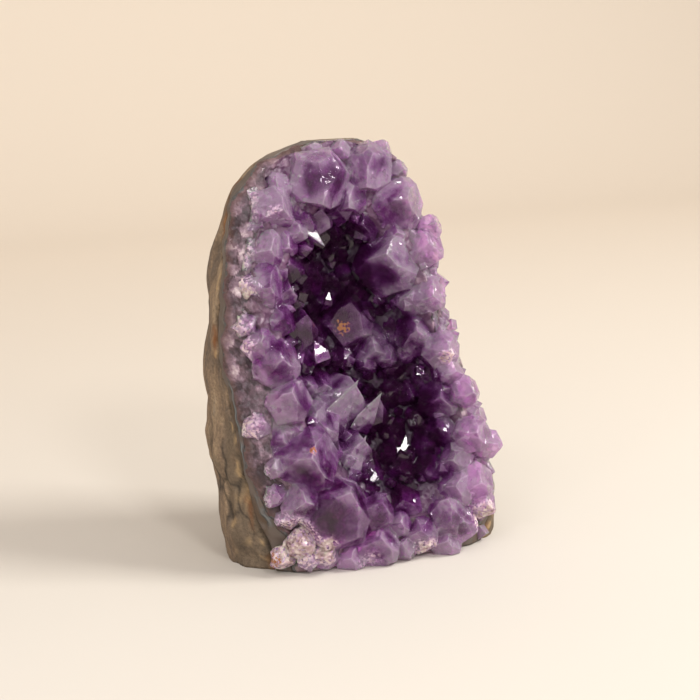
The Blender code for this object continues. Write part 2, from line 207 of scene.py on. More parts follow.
def inner_face(x, z):
    """Y of the rock's inner face, on which the agate lies."""
    across = share_across(x, z)
    share = (across + 1) / 2
    edges = smooth(LEFT_EDGE, z) * (1 - share) + smooth(RIGHT_EDGE, z) * share
    meander = 2.0 * waves(x, 3.0, z, 11.0) + 0.6 * waves(x, 8.0, z, 4.7) + 0.15 * waves(x, 1.0, z, 1.9)
    bow = smooth(INNER_BOW, z) * (1 - across**2)
    return edges + bow + INNER_WAVE * waves(x, 0.0, z, INNER_WAVE_WIDTH) + meander * across**4


def agate_face(x, z):
    """Y of the agate's front: the band swells and thins along its way."""
    wide = 1 + 0.8 * np.exp(-(z / 35)**2)
    return inner_face(x, z) - GAP - AGATE_THICKNESS * wide * (1.05 + 0.8 * waves(x, 5.0, z, 6.0))


def hollow(x, z):
    """How far a place lies in the hollow: 0 outside it, 1 where it is deepest."""
    off_middle = (x - smooth(HOLLOW_MIDDLE, z)) / smooth(HOLLOW_WIDTH, z)
    off_centre = np.abs((z - HOLLOW_CENTRE_Z) / HOLLOW_HALF_HEIGHT)
    dip = np.clip(1 - off_middle**2 - off_centre**3, 0, 1)
    return (dip * dip * (3 - 2 * dip))**0.8


def growth_face(x, z):
    """Y of the smooth surface from which the crystals grow, with the hollow up its middle."""
    return smooth(GROWTH_PLANE, z) + HOLLOW_DEPTH * hollow(x, z)


def front_face(x, z):
    """Y of what the crystals stand on: the growth face, or the outline's front where that is cut."""
    left, right, front, back, squareness = outline(z)
    aside = np.clip(np.abs((2 * x - left - right) / (right - left)), 0, 1)
    bulge = (1 - aside**squareness)**(1 / squareness)
    return np.maximum(growth_face(x, z), (front + back) / 2 - (back - front) / 2 * bulge)


def grain(x, y, z, size, seed, octaves=1):
    """Random relief between -1 and 1 whose bumps are `size` wide: random values at the corners of a
    cubic lattice, blended across each cell by 3t^2 - 2t^3; each octave is half as wide and high."""
    table = np.random.default_rng(seed).uniform(-1.0, 1.0, (32, 32, 32))
    total, weight = 0.0, 1.0
    for octave in range(octaves):
        place = np.stack([x, y, z], -1) / (size / 2**octave) + 500.0 + 7.3 * octave
        cell = np.floor(place).astype(int)
        t = place - cell
        t = t * t * (3 - 2 * t)
        for corner in itertools.product((0, 1), repeat=3):
            near = np.prod(np.where(np.array(corner) == 1, t, 1 - t), axis=-1)
            i, j, k = np.moveaxis((cell + corner) % 32, -1, 0)
            total = total + weight * near * table[i, j, k]
        weight /= 2
    return total


def chips(x, y, z, size, seed):
    """Broken faces about `size` wide, as a stone splits: every point belongs to the nearest of some
    shaken lattice points, and lies on that one's own tilted plane. Gives the height of the planes
    (about -1 to 1), a random number for each chip, and how near its border is (1 on it)."""
    table = np.random.default_rng(seed).uniform(0.0, 1.0, (16, 16, 16, 7))
    place = np.stack([x, y, z], -1) / size + 300.0
    cell = np.floor(place).astype(int)
    best, second = np.full(x.shape, 9.0), np.full(x.shape, 9.0)
    height, number = np.zeros(x.shape), np.zeros(x.shape)
    for offset in itertools.product((-1, 0, 1), repeat=3):
        near = cell + offset
        i, j, k = np.moveaxis(near % 16, -1, 0)
        own = table[i, j, k]
        away = place - near - own[..., :3]
        distance = np.linalg.norm(away, axis=-1)
        closer = distance < best
        second = np.where(closer, best, np.minimum(second, distance))
        best = np.where(closer, distance, best)
        plane = own[..., 3] - 0.5 + 1.6 * ((own[..., 4:] - 0.5) * away).sum(-1)
        height, number = np.where(closer, plane, height), np.where(closer, own[..., 3], number)
    border = np.clip(1 - (second - best) / 0.12, 0, 1)
    return height * (1 - border), number, border


def soften(values):
    """Each value averaged with its neighbours along both directions of the grid, twice."""
    for _ in range(2):
        values = (values + np.roll(values, 1, axis=1) + np.roll(values, -1, axis=1)) / 3
        padded = np.concatenate([values[:1], values, values[-1:]])
        values = (padded[:-2] + padded[1:-1] + padded[2:]) / 3
    return values


# ---- objects ------------------------------------------------------------------------------------
def new_object(name, data):
    """Object with this data, put into the scene."""
    obj = bpy.data.objects.new(name, data)
    bpy.context.scene.collection.objects.link(obj)
    return obj


def put_attribute(mesh, name, values, domain='POINT'):
    """Stores one number for each point or each face of a mesh."""
    mesh.attributes.new(name, 'FLOAT', domain).data.foreach_set("value", np.ravel(values).astype('f'))


def closed_object(name, points, faces, **attributes):
    """Object of a closed mesh whose points are given in millimetres and may carry numbers. Its faces
    are turned outwards, and those with more than six corners are cut into triangles."""
    mesh = bpy.data.meshes.new(name)
    mesh.from_pydata((points * MM).tolist(), [], faces)
    for key, values in attributes.items():
        put_attribute(mesh, key, values)
    bm = bmesh.new()
    bm.from_mesh(mesh)
    bmesh.ops.recalc_face_normals(bm, faces=bm.faces)
    bmesh.ops.triangulate(bm, faces=[face for face in bm.faces if len(face.verts) > 6])
    bm.to_mesh(mesh)
    bm.free()
    return new_object(name, mesh)


def combine(obj, other, operation):
    """Joins a closed mesh to another or cuts it out, and deletes the other."""
    modifier = obj.modifiers.new(operation.lower(), 'BOOLEAN')
    modifier.operation, modifier.object, modifier.solver = operation, other, 'MANIFOLD'
    graph = bpy.context.evaluated_depsgraph_get()
    mesh = bpy.data.meshes.new_from_object(obj.evaluated_get(graph))
    obj.modifiers.clear()
    old, obj.data = obj.data, mesh
    bpy.data.meshes.remove(old)
    bpy.data.objects.remove(other)


# ---- closed layers ------------------------------------------------------------------------------
def ring(turn, z):
    """X and Y on the outline at a turn from +X, with the rock's large lumps."""
    left, right, front, back, squareness = outline(z)
    c, s = np.cos(turn), np.sin(turn)
    x = (left + right) / 2 + (right - left) / 2 * np.sign(c) * np.abs(c)**(2 / squareness)
    y = (front + back) / 2 + (back - front) / 2 * np.sign(s) * np.abs(s)**(2 / squareness)
    push = ROCK_LUMP * waves(x, y, z * 0.7, ROCK_LUMP_WIDTH)
    return x + push * c, y + push * s


def crossings(surface, z):
    """Turns at which the outline crosses Y = surface(x, z): on the right and on the left."""
    turn = np.linspace(-pi / 2, 3 * pi / 2, 2881)[None, :]
    x, y = ring(turn, z[:, None])
    behind = y > surface(x, z[:, None])
    right = turn[0, np.argmax(behind, axis=1)]
    left = turn[0, behind.shape[1] - 1 - np.argmax(behind[:, ::-1], axis=1)]
    return right, left


def even_turns(start, end, z, share):
    """Turns from a start to an end for each height, at even steps along the outline. The outline is
    first walked in fine steps, finest where its corners' exponents stretch it: at each quarter turn."""
    spread = 0.1 * np.linspace(-1, 1, 401)**3
    turns = []
    for first, last, height in zip(start, end, z):
        fine = np.concatenate([np.linspace(first, last, 1500), *(spread + k * pi / 2 for k in range(3))])
        fine = np.unique(fine[(fine >= min(first, last)) & (fine <= max(first, last))])
        x, y = ring(fine, height)
        run = np.concatenate([[0], np.cumsum(np.hypot(np.diff(x), np.diff(y)))])
        turns.append(np.interp((share if first < last else 1 - share) * run[-1], run, fine))
    return np.array(turns)


class Layer:
    """Rings of a layer between Y = front and Y = back, one row a height: the left side, the back
    surface, the right side and the front surface. With no back it is all that lies behind. Each
    point has its place, its outward direction on the sides, its share of the way from the front
    edge to the back one, and its distance from the front edge."""

    def __init__(self, z, front, back, side_points, front_points, back_points=0):
        rows, high = [], z[:, None]
        front_right, front_left = crossings(front, z)

        def side(start, end, share):
            turn = even_turns(start, end, z, share[0])
            x, y = ring(turn, high)
            steps = np.hypot(np.diff(x, axis=1), np.diff(y, axis=1))
            run = np.concatenate([np.zeros((len(z), 1)), np.cumsum(steps, axis=1)], axis=1)
            edge = np.minimum(run, run[:, -1:] - run) if back is None else run
            zero = 0 * x
            rows.append((x, y, high + zero, np.cos(turn), np.sin(turn), 1.0 + zero, share + zero, edge))

        def face(start, end, surface, count, share):
            across = np.linspace(0, 1, count + 2)[None, 1:-1]
            x0, x1 = ring(start[:, None], high)[0], ring(end[:, None], high)[0]
            x = x0 * (1 - across) + x1 * across
            zero = 0 * x
            rows.append((x, surface(x, high), high + zero, zero, zero, zero, share + zero, zero))

        share = np.linspace(0, 1, side_points)[None, :]
        if back is None:
            side(front_left, front_right, share)
        else:
            back_right, back_left = crossings(back, z)
            side(front_left, back_left, share)
            face(back_left, back_right, back, back_points, 1.0)
            side(front_right, back_right, share)
            rows[-1] = tuple(part[:, ::-1] for part in rows[-1])
        face(front_right, front_left, front, front_points, 0.0)
        joined = [np.concatenate(part, axis=1) for part in zip(*rows)]
        self.x, self.y, self.z, self.out_x, self.out_y, self.outer, self.share, self.edge = joined

    def push(self, outwards, forwards=0.0):
        """Moves the sides outwards and the front surface forwards."""
        front = (self.outer == 0) & (self.share == 0)
        self.x = self.x + outwards * self.out_x
        self.y = self.y + outwards * self.out_y - np.where(front, forwards, 0.0)

    def points(self):
        """Places of the points, one row a point."""
        return np.stack([self.x, self.y, self.z], -1).reshape(-1, 3)

    def make(self, name, **marks):
        """Closed mesh of the rings, with a flat face below and one on top, and a number for each mark
        and point."""
        rows, columns = self.x.shape
        index = np.arange(rows * columns).reshape(rows, columns)
        after = np.roll(index, -1, axis=1)
        quads = np.stack([index[:-1], after[:-1], after[1:], index[1:]], -1).reshape(-1, 4)
        faces = quads.tolist() + [index[0].tolist(), index[-1, ::-1].tolist()]
        marks = {mark: np.broadcast_to(values, self.x.shape) for mark, values in marks.items()}
        return closed_object(name, self.points(), faces, **marks)


def mesh_points(mesh):
    """Places of a mesh's points in millimetres, one row a point."""
    points = np.empty(3 * len(mesh.vertices), 'f')
    mesh.vertices.foreach_get("co", points)
    return points.reshape(-1, 3).astype(float) / MM


def heights(count, low=0.0):
    """Rows from the sawn base to the top, closer together where the outline closes."""
    share = np.linspace(0, 1, count)
    return low + (TOP - low) * (1 - (1 - share)**1.4) * 0.9995


# ---- small crystals -----------------------------------------------------------------------------
def crystal_points(girth, height, rng):
    """Thirteen points of one crystal along +Z: a six-sided root, six shoulders at uneven heights
    about half its girth below the tip, and a tip a little off the middle."""
    turn = np.arange(6) * pi / 3 + rng.uniform(0, pi / 3)
    radius = girth / 2 * rng.uniform(0.88, 1.08, 6)
    uneven = np.where(np.arange(6) % 2, 0.13, -0.13) + rng.uniform(-0.06, 0.06, 6)
    shoulder = height - girth * (0.52 + uneven)
    sides = np.stack([radius * np.cos(turn), radius * np.sin(turn)], -1)
    foot = np.concatenate([sides * 0.8, np.full((6, 1), -ROOT_DEPTH)], axis=1)
    tip = np.append(rng.uniform(-0.12, 0.12, 2) * girth, height)
    return np.concatenate([foot, np.concatenate([sides, shoulder[:, None]], axis=1), tip[None]])


CRYSTAL_FACES = ([(5, 4, 3, 2, 1, 0)] + [(i, (i + 1) % 6, (i + 1) % 6 + 6, i + 6) for i in range(6)]
                 + [(i + 6, (i + 1) % 6 + 6, 12) for i in range(6)])
TALL_POINT_FACES = [(0, 1, 2), (0, 2, 3), (0, 3, 1), (1, 4, 5, 2), (2, 5, 6, 3), (3, 6, 4, 1), (6, 5, 4)]


def tall_point(tip, *corners):
    """Seven points of a three-sided crystal: its tip, the corners of its root, and the root's foot,
    half the height of the tip deeper in."""
    tip, corners = np.array(tip), np.array(corners)
    return np.concatenate([tip[None], corners, corners - 0.5 * (tip - corners.mean(axis=0))])


def bright_point(middle, width, height, turn):
    """Tip and three corners of a point whose one large face leans along FACE_LEAN: the tip lies 0.6
    of the height above the middle, two corners 0.4 below it and half the width aside, one behind."""
    out = Vector(FACE_LEAN).normalized()
    right = out.cross(Vector((0, 0, -1))).normalized()
    up = out.cross(right)
    c, s = cos(radians(turn)), sin(radians(turn))
    along, side = up * c + right * s, right * c - up * s
    middle = Vector(middle)
    tip = middle + along * height * 0.6
    low = middle - along * height * 0.4
    behind = middle - out * BRIGHT_ROOT_DEPTH - along * height * 0.2
    return tip, low - side * width / 2, low + side * width / 2, behind


def growth_direction(x, z):
    """Outward directions of the growth face, one row a place."""
    slope_x = (growth_face(x + 2, z) - growth_face(x - 2, z)) / 4
    slope_z = (growth_face(x, z + 2) - growth_face(x, z - 2)) / 4
    out = np.stack([slope_x, -1 + 0 * x, slope_z], -1)
    return out / np.linalg.norm(out, axis=-1, keepdims=True)


def scatter(count, seed):
    """Places, girths, heights and directions of the small crystals, on a shaken square lattice that
    would give `count` of them on 100 by 72 mm: many in the hollow, about half as many and lower ones
    between the large crystals outside it, and broad low ones along the right edge."""
    rng = np.random.default_rng(seed)
    step = (100.0 * 72.0 / count)**0.5
    x, z = np.meshgrid(np.arange(-46, 46, step), np.arange(1.5, TOP - 3, step))
    x = x.ravel() + rng.uniform(-0.45, 0.45, x.size) * step
    z = z.ravel() + rng.uniform(-0.45, 0.45, z.size) * step
    left, right = outline(z)[:2]
    across = (2 * x - left - right) / (right - left)
    deep, chance = hollow(x, z) > 0.15, rng.uniform(0, 1, x.size)
    keep = (across > -0.62) & (across < 0.78) & (deep | (chance < 0.5))
    girth = rng.uniform(2.6, 5.2, x.size)
    height = np.where(deep, girth * rng.uniform(0.5, 1.0, x.size) + 1.0, girth * 0.4)
    edge = (across > 0.8) & (across < 0.95) & (z > 14) & (front_face(x, z) < inner_face(x, z) - 3.0)
    girth = np.where(edge, rng.uniform(4.5, 7.5, x.size), girth)
    height = np.where(edge, girth * 0.3, height)
    keep = keep | edge
    x, z, girth, height, edge = (part[keep] for part in (x, z, girth, height, edge))
    axis = growth_direction(x, z) + rng.uniform(-0.45, 0.45, (len(x), 3)) + (-0.1, -0.2, 0.15)
    axis[:, 0] += 0.4 * edge
    axis /= np.linalg.norm(axis, axis=1, keepdims=True)
    return np.stack([x, front_face(x, z), z], -1), girth, height, axis, rng


def sort_apart(places, reach):
    """Deals crystals out into groups in which none touches another."""
    groups = []
    for i, place in enumerate(places):
        for group in groups:
            near = np.linalg.norm(places[group] - place, axis=1) < reach[group] + reach[i]
            if not near.any():
                group.append(i)
                break
        else:
            groups.append([i])
    return groups


def split_long_edges(mesh, limit):
    """Splits the edges of a mesh that are longer than this many millimetres, so that marks on its
    points show in the middle of large faces too."""
    bm = bmesh.new()
    bm.from_mesh(mesh)
    for _ in range(4):
        bmesh.ops.triangulate(bm, faces=[face for face in bm.faces if len(face.verts) > 3])
        edges = [edge for edge in bm.edges if edge.calc_length() > limit * MM]
        bmesh.ops.subdivide_edges(bm, edges=edges, cuts=1)
    bmesh.ops.triangulate(bm, faces=[face for face in bm.faces if len(face.verts) > 3])
    bm.to_mesh(mesh)
    bm.free()


def facet_tones(mesh):
    """Number between -1 and 1 for each face, the same all over a flat facet: random relief read at a
    place that follows from the facet's plane, its direction and its distance from the origin."""
    direction, middle = np.empty((2, 3 * len(mesh.polygons)), 'f')
    mesh.polygons.foreach_get("normal", direction)
    mesh.polygons.foreach_get("center", middle)
    direction, middle = direction.reshape(-1, 3).astype(float), middle.reshape(-1, 3) / MM
    away = (direction * middle).sum(-1)
    x, y, z = (8.0 * direction + away[:, None] * (0.37, 0.61, 0.53)).T
    return np.clip(1.8 * grain(x, y, z, 2.0, seed=71), -1, 1)


def crust_object():
    """The frame's crust as an object of its own, the doubled points of its triangles merged."""
    bm = bmesh.new()
    bm.from_mesh(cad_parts["amethyst_crust"].data)
    bmesh.ops.remove_doubles(bm, verts=bm.verts, dist=0.001 * MM)
    mesh = bpy.data.meshes.new("amethyst_crystals")
    bm.to_mesh(mesh)
    bm.free()
    return new_object("amethyst_crystals", mesh)


def set_small_crystals(crystals, count):
    """Joins the small crystals to the crust, a group of them that don't touch at a time."""
    place, girth, height, axis, rng = scatter(count, seed=21)
    shapes = [crystal_points(girth[i], height[i], rng) for i in range(len(place))]
    for group in sort_apart(place, 0.6 * girth + 0.5 * height):
        points = []
        for i in group:
            stand = Vector(axis[i]).to_track_quat('Z', 'X').to_matrix()
            points.append(shapes[i] @ np.array(stand).T + place[i])
        points = np.concatenate(points)
        points[:, 2] = np.maximum(points[:, 2], GAP)
        faces = [tuple(v + 13 * n for v in face) for n in range(len(group)) for face in CRYSTAL_FACES]
        combine(crystals, closed_object("small_crystals", points, faces), 'UNION')


# ---- materials ----------------------------------------------------------------------------------
def add_node(tree, kind, inputs, out=0, stops=(), **settings):
    """Adds a shader node with its settings and gives back one of its outputs, if it has any. Its
    inputs are numbers, colours or other nodes' outputs, and a ramp's stops are positions and colours."""
    new = tree.nodes.new('ShaderNode' + kind)
    for name, value in settings.items():
        setattr(new, name, value)
    for socket, value in inputs.items():
        if isinstance(value, bpy.types.NodeSocket):
            tree.links.new(value, new.inputs[socket])
        else:
            new.inputs[socket].default_value = linear(value)
    for i, (position, value) in enumerate(stops):
        element = new.color_ramp.elements[i] if i < 2 else new.color_ramp.elements.new(position)
        element.position = position
        element.color = linear(value)
    return new.outputs[out] if new.outputs else None


def new_material(name, *marks):
    """Empty node material, the function that adds nodes to it, the object coordinates that its
    patterns read, and the outputs of the piece's marks."""
    mat = bpy.data.materials.new(name)
    mat.use_nodes = True
    tree = mat.node_tree
    tree.nodes.clear()
    add = partial(add_node, tree)
    place = add('TexCoord', {}, 'Object')
    marks = {mark: add('Attribute', {}, 'Fac', attribute_name=mark) for mark in marks}
    return mat, add, place, marks


def pattern(place, millimetres, **more):
    """Inputs of a texture whose features are about this many millimetres apart."""
    return {'Vector': place, 'Scale': 1.0 / (millimetres * MM), **more}


def painted(add, colour, *coats):
    """Colour under coats of others, laid one after another: each has its share, between 0 for none of
    it and 1 for all of it, and its own colour."""
    for share, coat in coats:
        colour = add('Mix', {0: share, 'A': colour, 'B': coat}, 2, data_type='RGBA')
    return colour


def tilted_normal(add, place, size, normal, amount):
    """Normal of a surface broken into small flat facets: each cell of a Voronoi pattern leans its
    own way, by up to this much."""
    cells = add('TexVoronoi', pattern(place, size), 'Color')
    lean = add('VectorMath', {0: cells, 1: (0.5, 0.5, 0.5)}, operation='SUBTRACT')
    leaning = add('VectorMath', {0: lean, 'Scale': amount}, operation='SCALE')
    facets = add('VectorMath', {0: normal, 1: leaning}, operation='ADD')
    return add('VectorMath', {0: facets}, operation='NORMALIZE')


def basalt_material(colours):
    """Weathered basalt, broken and worn: matt, brown-grey, streaked from top to bottom where water ran,
    each broken plate a little different, with painted shade in its cracks, an ochre lip and rust along
    the agate, and a painted highlight on the ridges at its foot. Its mineral grains, 0.1 mm in the real
    rock, are drawn 0.9 mm wide so that they show."""
    mat, add, place, marks = new_material("weathered_basalt", "cavity", "rust", "plate", "lip", "slab")
    drawn_out = add('Mapping', {'Vector': place, 'Scale': (1.0, 1.0, 0.4)})
    streaks = add('TexNoise', pattern(drawn_out, 4, Detail=7.0, Roughness=0.66, Distortion=0.3))
    shifted = add('Math', {0: marks["plate"], 1: 0.16, 2: streaks}, operation='MULTIPLY_ADD')
    body = add('ValToRGB', {'Fac': shifted},
               stops=((0.34, '#65574a'), (0.50, colours.basalt), (0.66, '#988268'), (0.84, '#8a7e70')))
    greyer = painted(add, body, (marks["slab"], '#695a49'))
    grains = add('TexNoise', pattern(place, 0.9, Detail=4.0, Roughness=0.65))
    speckle = add('MapRange', {'Value': grains, 'From Min': 0.3, 'From Max': 0.7, 'To Min': 0.66,
                               'To Max': 1.26})
    speckled = add('VectorMath', {0: greyer, 1: speckle}, operation='MULTIPLY')
    # Coats: rust, the ochre lip with a painted highlight on the slab's ridges, and painted shade in the
    # cracks.
    weathered = painted(add, speckled, (marks["rust"], '#7a4a22'), (marks["lip"], '#b89a70'),
                        (marks["cavity"], colours.basalt_crevice_shade))
    bump = add('Bump', {'Height': grains, 'Distance': 0.45 * MM, 'Strength': 1.0})
    shader = add('BsdfPrincipled', {'Base Color': weathered, 'Roughness': 0.82, 'Normal': bump})
    add('OutputMaterial', {'Surface': shader})
    return mat


def agate_material(colours):
    """Agate, broken and water-worn: waxy, blue-grey, with bands along the layer, drawn coarser than
    the real ones so that they show, and brown patches where it meets the rock."""
    mat, add, place, marks = new_material("waxy_agate", "share", "low")
    shake = add('TexNoise', pattern(place, 3, Detail=4.0))
    band = add('Math', {0: shake, 1: 0.8, 2: marks["share"]}, operation='MULTIPLY_ADD')
    tint = add('ValToRGB', {'Fac': band},
               stops=((0.30, '#6a5650'), (0.50, '#3f4144'), (0.72, colours.agate), (0.90, '#2b2725'),
                      (1.0, '#4a3828')))
    patches = add('TexNoise', pattern(place, 6, Detail=4.0))
    bare = add('MapRange', {'Value': patches, 'From Min': 0.42, 'From Max': 0.58})
    fresh = add('Math', {0: marks["low"], 1: bare}, operation='MULTIPLY')
    weathered = painted(add, '#5c5048', (fresh, tint))
    shader = add('BsdfPrincipled', {'Base Color': weathered, 'Roughness': 0.38})
    add('OutputMaterial', {'Surface': shader})
    return mat


def quartz_material(colours):
    """Milky quartz, sawn and worn at the rim: grey-mauve and half clear with pale broken grains, with
    blue-grey and brown growth lines by the agate, rusty at the foot, milk-white under the crystals
    of the rim, and painted shade down in the hollow, where it turns near-black violet."""
    mat, add, place, marks = new_material("milky_quartz", "tone", "rust", "front", "rind", "grainy")
    drawn_out = add('Mapping', {'Vector': place, 'Scale': (1.0, 0.4, 0.8)})
    mottle = add('TexNoise', pattern(drawn_out, 3.2, Detail=6.0, Roughness=0.68))
    lighter = add('Math', {0: marks["grainy"], 1: 0.2, 2: mottle}, operation='MULTIPLY_ADD')
    strip = add('ValToRGB', {'Fac': lighter},
                stops=((0.34, '#35252c'), (0.50, '#5f4a55'), (0.63, colours.quartz),
                       (0.80, colours.quartz_pale)))
    shift = add('MapRange', {'Value': mottle, 'From Min': 0.35, 'From Max': 0.65, 'To Min': 1.2,
                             'To Max': -1.6})
    wavy = add('Math', {0: shift, 1: marks["rind"]}, operation='ADD')
    line = add('ValToRGB', {'Fac': wavy}, stops=((0.0, '#ffffff'), (0.35, '#000000')))
    wide_line = add('MapRange', {'Value': wavy, 'From Min': 4.0, 'From Max': 0.5, 'To Max': 0.7})
    mauve = painted(add, strip, (0.8, '#5f3a5c'))
    lit = painted(add, strip, (wide_line, '#5d423c'), (line, '#4d4c4c'), (marks["front"], mauve),
                  (marks["rust"], '#8a5a3c'))
    grains = add('TexNoise', pattern(place, 1.0, Detail=4.0))
    bump = add('Bump', {'Height': grains, 'Distance': 0.3 * MM, 'Strength': 0.8})
    # Painted shade: near-black violet where the hollow's shade falls.
    shader = add('BsdfPrincipled', {'Base Color': painted(add, '#2c0f2e', (marks["tone"], lit)),
                                    'Roughness': 0.36,
                                    'Normal': tilted_normal(add, place, 0.9, bump, 0.5)})
    add('OutputMaterial', {'Surface': shader})
    return mat


def amethyst_material(colours, edge_wear):
    """Amethyst with its natural faces: glass-clear and smooth, violet in patches and zones that are
    deep in the hollow and pale at the rim, where it is cloudy, with growth steps, chipped pale edges,
    chalky crumbled places and rust stains. Its tone carries painted shade in the hollow and at the
    crystals' feet, and painted light on the right rim. The growth steps are finer in the real one,
    and are drawn 1.7 mm apart so that they show."""
    mat, add, place, marks = new_material("glassy_amethyst", "tone", "facet", "rust", "grainy")
    # Paleness: it follows the tone with its painted light and shade, and is higher where the crystal is
    # thin.
    zones = add('TexNoise', pattern(place, 7, Detail=2.0, Roughness=0.5))
    patchy = add('Math', {0: zones, 1: 2.2, 2: -1.42}, operation='MULTIPLY_ADD')
    thick = add('AmbientOcclusion', {'Distance': 5 * MM}, 'AO', inside=True, samples=4)
    thin = add('MapRange', {'Value': thick, 'From Min': 0.5, 'From Max': 0.97, 'To Min': 0.85,
                            'To Max': 0.0})
    near_rim = add('Math', {0: marks["tone"], 1: 0.36}, operation='ADD')
    thin = add('Math', {0: thin, 1: near_rim}, operation='MULTIPLY')
    faceted = add('Math', {0: marks["facet"], 1: 0.16, 2: marks["tone"]}, operation='MULTIPLY_ADD')
    toned = add('Math', {0: patchy, 1: faceted}, operation='ADD')
    pale = add('Math', {0: toned, 1: thin}, operation='ADD', use_clamp=True)
    tint = add('ValToRGB', {'Fac': pale},
               stops=((0.0, colours.amethyst_deep), (0.35, '#8a2f92'), (0.68, colours.amethyst),
                      (1.0, '#efd2f2')))
    # Veils of small inclusions, which make the pale parts cloudy.
    veils = add('TexNoise', pattern(place, 2.4, Detail=5.0, Roughness=0.65))
    cloud = add('Math', {0: veils, 1: pale}, operation='MULTIPLY')
    clear = add('MapRange', {'Value': cloud, 'From Min': 0.0, 'From Max': 0.6, 'To Min': 0.9,
                             'To Max': 0.74})
    # Worn edges: where the rounded normal leaves the flat one.
    wear = add('Math', {0: pale, 1: edge_wear}, operation='MULTIPLY')
    round_edge = add('Bevel', {'Radius': wear}, samples=4)
    flat = add('NewGeometry', {}, 'Normal')
    along = add('VectorMath', {0: round_edge, 1: flat}, 'Value', operation='DOT_PRODUCT')
    edge = add('MapRange', {'Value': along, 'From Min': 0.98, 'From Max': 0.75, 'To Min': 0.0,
                            'To Max': 0.22})
    broken = add('Math', {0: edge, 1: veils}, operation='MULTIPLY')
    worn = add('Math', {0: broken, 1: pale}, operation='MULTIPLY')
    through = add('Math', {0: clear, 1: worn}, operation='SUBTRACT', use_clamp=True)
    # Chalky places: crumbled grains and lumps between grey-mauve and white.
    crumbs = add('TexVoronoi', pattern(place, 0.7), 'Color', feature='F1')
    lumps = add('TexNoise', pattern(place, 2.6, Detail=5.0, Roughness=0.6))
    shade = add('Math', {0: crumbs, 1: 0.25, 2: lumps}, operation='MULTIPLY_ADD')
    chalky = add('ValToRGB', {'Fac': shade},
                 stops=((0.45, '#6f575c'), (0.60, '#a48c8c'), (0.78, '#d3c4bf')))
    crumbled = add('Math', {0: marks["grainy"], 1: crumbs}, operation='MULTIPLY')
    milky = add('MapRange', {'Value': crumbled, 'From Min': 0.08, 'From Max': 0.26})
    # Rust stains: specks that run together near the middle of each.
    specks = add('TexNoise', pattern(place, 0.8, Detail=3.0))
    stain = add('Math', {0: marks["rust"], 1: specks}, operation='MULTIPLY')
    stained = add('MapRange', {'Value': stain, 'From Min': 0.36, 'From Max': 0.44})
    skin = painted(add, tint, (worn, '#f1e6ee'), (milky, chalky), (stained, '#96603c'))
    opaque = add('Math', {0: milky, 1: stained}, operation='MAXIMUM')
    through = add('Math', {0: through, 1: opaque}, operation='SUBTRACT', use_clamp=True)
    # Relief: growth steps, and facets that break up the cloudy parts.
    rough = add('MapRange', {'Value': worn, 'To Min': 0.04, 'To Max': 0.35})
    steps = add('TexNoise', pattern(place, 1.7, Detail=2.0))
    bump = add('Bump', {'Height': steps, 'Distance': 0.14 * MM, 'Strength': pale, 'Normal': round_edge})
    uneven = add('MapRange', {'Value': veils, 'From Min': 0.50, 'From Max': 0.56, 'To Min': 0.08,
                              'To Max': 1.6})
    broken_up = add('Math', {0: uneven, 1: pale}, operation='MULTIPLY')
    shader = add('BsdfPrincipled', {
        'Base Color': skin, 'Roughness': rough, 'IOR': 1.544, 'Transmission Weight': through,
        'Subsurface Weight': pale, 'Subsurface Radius': (1.0, 0.6, 1.0), 'Subsurface Scale': 2.0 * MM,
        'Normal': tilted_normal(add, place, 1.2, bump, broken_up)})
    volume = add('VolumeAbsorption', {'Color': colours.absorption, 'Density': 95.0})
    add('OutputMaterial', {'Surface': shader, 'Volume': volume})
    return mat


def finish(obj, mat, slot, *replaced):
    """Gives a piece its material, its ride on the body and the nodes it stands for."""
    obj.data.materials.append(mat)
    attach(obj, "root")
    if replaced:
        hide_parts(*replaced)


# ---- colour zones -------------------------------------------------------------------------------
# Places where the amethyst is paler or darker than around them: X, Y, Z, radius, change of tone.
TONE_SPOTS = (
    (-19, 4, 107, 7, 0.35), (-12, 0, 109, 5, -0.45), (1, 2, 110, 8, 0.25), (10, -2, 99, 5, -0.25),
    (17, -5, 87, 7, 0.3), (5, -3, 83, 9, 0.2), (-26, -1, 99, 8, 0.15), (-14, 7, 78, 8, -0.4),
    (-1, 11, 84, 10, -0.5), (4, 1, 58, 7, 0.45), (-32, -14, 61, 6, 0.1), (-10, -2, 43, 9, 0.45),
    (11, 3, 42, 9, -0.4), (6, -3, 27, 10, -0.5), (8, -14, 17, 6, -0.35), (-26, -22, 35, 10, -0.05),
    (-18, -23, 18, 8, -0.15), (26, -17, 36, 7, 0.2), (27, -20, 22, 8, 0.6), (18, -10, 45, 7, -0.15),
    (15, -20, 13, 8, 0.15), (-30, -19, 11, 8, 0.3), (16, -9, 74, 6, 0.3), (-21, -1, 67, 8, -0.3),
    (3, 1, 40, 5, 0.3), (20, -12, 59, 6, 0.3), (33, -14, 28, 7, 0.3), (-5, 5, 64, 5, 0.3),
    (-37, -11, 42, 4, 0.25), (-12, 6, 114, 6, 0.35), (-3, 8, 115, 6, 0.4), (14, -9, 27, 8, -0.3),
    (21, -12, 44, 6, 0.15), (-33, -12, 78, 6, -0.15), (-31, -16, 62, 6, -0.2),
    (-22, -20, 36, 7, -0.15), (16, -10, 52, 6, -0.2), (-6, -4, 45, 6, 0.3), (0, -3, 41, 5, 0.35),
    (-5, -6, 29, 5, 0.55),
)
# Places where the quartz has no pale grains, where rust stains it and the amethyst, and where the
# amethyst is chalky: X, Y, Z and radius.
DARK_SPOTS = ((-37, -12, 26, 13),)
RUST_SPOTS = ((-5, 5, 64, 4.0), (-25, -20, 37, 2.5), (-34, -14, 5, 3.5))
GRAINY_SPOTS = (
    (-31, -18, 9, 7), (-22, -21, 7, 4), (-8, -22, 2, 3), (10, -20, 3, 3), (20, -13, 56, 2.5),
    (-38, -3, 77, 3), (-38, -8, 50, 3), (-30, -3, 101, 3), (30, -19, 10, 4),
)


